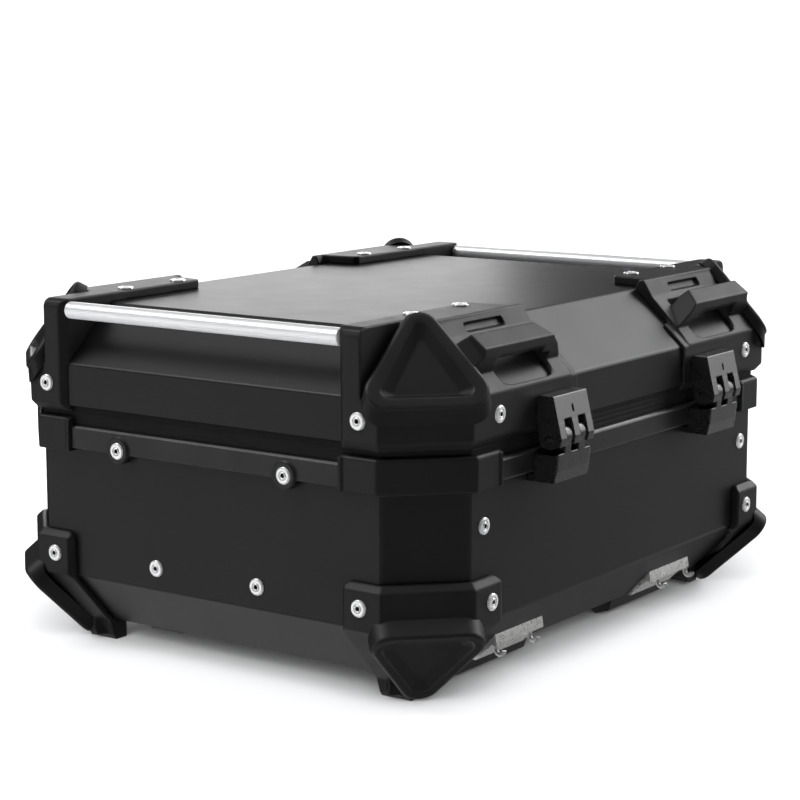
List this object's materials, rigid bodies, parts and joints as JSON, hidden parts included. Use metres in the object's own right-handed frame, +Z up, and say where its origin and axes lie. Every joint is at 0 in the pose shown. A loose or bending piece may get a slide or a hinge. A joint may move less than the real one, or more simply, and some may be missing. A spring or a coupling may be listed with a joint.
{
  "type": "motorcycle top case",
  "caption": "Rectangular aluminium top case with chamfered corners, moulded corner armour, a hinged lid with side rails, draw latches and a rack release.",
  "frame": {"origin": "on the ground, under the middle of the case", "axes": "+X along the hinge line, +Y towards the hinge side, +Z up"},
  "size_m": [0.4456, 0.378, 0.2292],
  "materials": {
    "black_sheet": "satin",
    "black_profile": "satin",
    "armour_plastic": "matte",
    "seal_rubber": "matte",
    "foam_lining": "matte",
    "rivet_steel": "polished",
    "zinc_steel": "satin",
    "pin_steel": "satin",
    "rail_aluminium": "satin",
    "hinge_alloy": "satin",
    "latch_steel": "satin",
    "lock_chrome": "polished",
    "button_plastic": "gloss"
  },
  "bodies": {
    "case": {"base_shell": "black_sheet", "base_seal": "seal_rubber", "base_liner": "foam_lining", "base_rivets": "rivet_steel", "guard_rivets": "rivet_steel", "rim_rail_front": "black_profile", "rim_rail_rear": "black_profile", "rim_rail_left": "black_profile", "rim_rail_right": "black_profile", "rim_corner_fl": "armour_plastic", "rim_corner_fr": "armour_plastic", "rim_corner_rl": "armour_plastic", "rim_corner_rr": "armour_plastic", "base_guard_fl": "armour_plastic", "base_guard_fr": "armour_plastic", "base_guard_rl": "armour_plastic", "base_guard_rr": "armour_plastic", "base_pad_fl": "armour_plastic", "base_pad_fr": "armour_plastic", "base_pad_rl": "armour_plastic", "base_pad_rr": "armour_plastic", "mount_pan": "armour_plastic", "hook_plate_left": "zinc_steel", "hook_plate_right": "zinc_steel", "hinge_base_left": "hinge_alloy", "hinge_base_right": "hinge_alloy", "hinge_pins": "pin_steel", "latch_housing_left": "armour_plastic", "latch_housing_right": "armour_plastic", "latch_pins": "pin_steel", "release_housing": "armour_plastic"},
    "lid": {"lid_shell": "black_sheet", "lid_rim": "black_profile", "lid_liner": "foam_lining", "lid_rivets": "rivet_steel", "lid_guard_fl": "armour_plastic", "lid_guard_fr": "armour_plastic", "lid_guard_rl": "armour_plastic", "lid_guard_rr": "armour_plastic", "lid_pad_fl": "armour_plastic", "lid_pad_fr": "armour_plastic", "lid_pad_rl": "armour_plastic", "lid_pad_rr": "armour_plastic", "side_rail_left": "rail_aluminium", "side_rail_right": "rail_aluminium", "hinge_lid_left": "hinge_alloy", "hinge_lid_right": "hinge_alloy", "latch_keepers": "latch_steel"},
    "lever_left": {"latch_lever_left": "armour_plastic"},
    "lock_left": {"latch_lock_left": "lock_chrome"},
    "claw_left": {"latch_claw_left": "latch_steel"},
    "lever_right": {"latch_lever_right": "armour_plastic"},
    "lock_right": {"latch_lock_right": "lock_chrome"},
    "claw_right": {"latch_claw_right": "latch_steel"},
    "button": {"release_button": "button_plastic"},
    "bolt": {"release_bolt": "pin_steel", "release_spring": "pin_steel"},
    "release_key": {"release_lock": "lock_chrome"}
  },
  "joints": [
    {"name": "lid_hinge", "type": "hinge", "parent": "case", "child": "lid", "pos_m": [0, 0.18, 0.152], "axis": [-1, 0, 0], "range_deg": [0, 95]},
    {"name": "lever_left_hinge", "type": "hinge", "parent": "case", "child": "lever_left", "pos_m": [-0.095, -0.177, 0.096], "axis": [1, 0, 0], "range_deg": [0, 100]},
    {"name": "claw_left_hinge", "type": "hinge", "parent": "lever_left", "child": "claw_left", "pos_m": [-0.095, -0.1755, 0.118], "axis": [1, 0, 0], "range_deg": [-90, 0]},
    {"name": "key_left_turn", "type": "hinge", "parent": "lever_left", "child": "lock_left", "pos_m": [-0.095, -0.185, 0.107], "axis": [0, -1, 0], "range_deg": [0, 90]},
    {"name": "lever_right_hinge", "type": "hinge", "parent": "case", "child": "lever_right", "pos_m": [0.095, -0.177, 0.096], "axis": [1, 0, 0], "range_deg": [0, 100]},
    {"name": "claw_right_hinge", "type": "hinge", "parent": "lever_right", "child": "claw_right", "pos_m": [0.095, -0.1755, 0.118], "axis": [1, 0, 0], "range_deg": [-90, 0]},
    {"name": "key_right_turn", "type": "hinge", "parent": "lever_right", "child": "lock_right", "pos_m": [0.095, -0.185, 0.107], "axis": [0, -1, 0], "range_deg": [0, 90]},
    {"name": "button_push", "type": "slide", "parent": "case", "child": "button", "axis": [0, 1, 0], "range_m": [0, 0.005], "stiffness_N_per_m": 900, "springref_m": -0.002},
    {"name": "bolt_slide", "type": "slide", "parent": "case", "child": "bolt", "axis": [0, -1, 0], "range_m": [0, 0.0055]},
    {"name": "release_key_turn", "type": "hinge", "parent": "case", "child": "release_key", "pos_m": [0.032, -0.15, 0.021], "axis": [0, -1, 0], "range_deg": [0, 90]}
  ],
  "couplings": [
    {"joint": "claw_left_hinge", "follows": "lever_left_hinge", "ratio": -0.9},
    {"joint": "claw_right_hinge", "follows": "lever_right_hinge", "ratio": -0.9},
    {"joint": "bolt_slide", "follows": "button_push", "ratio": 1}
  ]
}
